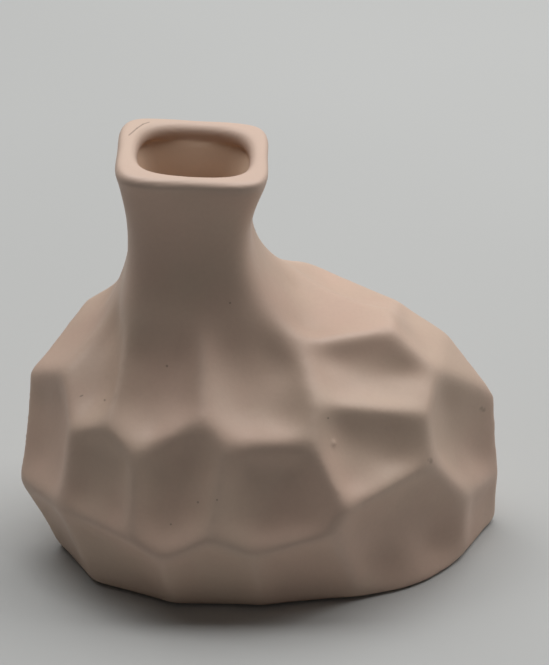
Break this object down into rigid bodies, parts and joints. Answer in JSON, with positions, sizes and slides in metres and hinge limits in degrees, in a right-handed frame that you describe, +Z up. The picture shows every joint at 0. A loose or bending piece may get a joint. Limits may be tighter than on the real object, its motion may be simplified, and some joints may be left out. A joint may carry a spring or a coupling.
{
  "type": "pillow vase",
  "caption": "Low, wide ceramic bud vase of dished facets with soft ridges, and a square, leaning neck with a flared lip set off centre.",
  "frame": {"origin": "on the ground under the middle of the vase's box", "axes": "+Z up, +X along the long side towards the end away from the neck, -Y towards the viewer"},
  "size_m": [0.12, 0.081, 0.1066],
  "materials": {
    "blush_clay": "matte",
    "bare_clay": "raw",
    "inner_glaze": "satin"
  },
  "bodies": {
    "root": {"faceted_body": "blush_clay", "neck_collar": "blush_clay", "floor_slab": "bare_clay", "glaze_lining": "inner_glaze"}
  },
  "joints": []
}
